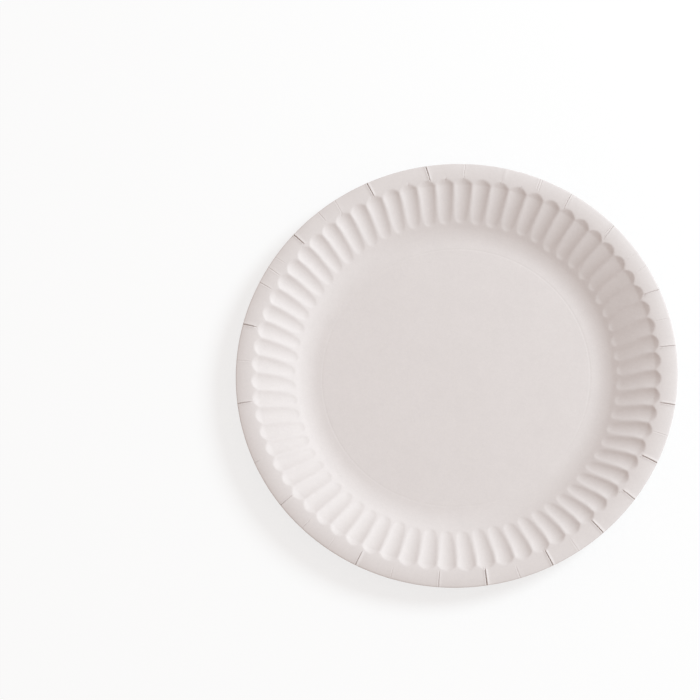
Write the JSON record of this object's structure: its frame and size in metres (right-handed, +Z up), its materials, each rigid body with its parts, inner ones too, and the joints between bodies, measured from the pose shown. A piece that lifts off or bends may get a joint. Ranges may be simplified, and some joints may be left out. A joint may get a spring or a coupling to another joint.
{
  "type": "paper plate",
  "caption": "Round white paper plate: a flat base, a low wall pressed into radial flutes, and a plain brim that turns down, with small pleats pressed flat in it.",
  "frame": {"origin": "centre of the underside of the flat base, on the surface that the plate stands on", "axes": "+Z up along the plate's axis, out of the open side; +X runs along the middle of one flute"},
  "size_m": [0.23, 0.23, 0.0131],
  "materials": {
    "paperboard": "matt uncoated white paperboard with a faint warm tint"
  },
  "bodies": {
    "root": {"plate": "paperboard"}
  },
  "joints": []
}
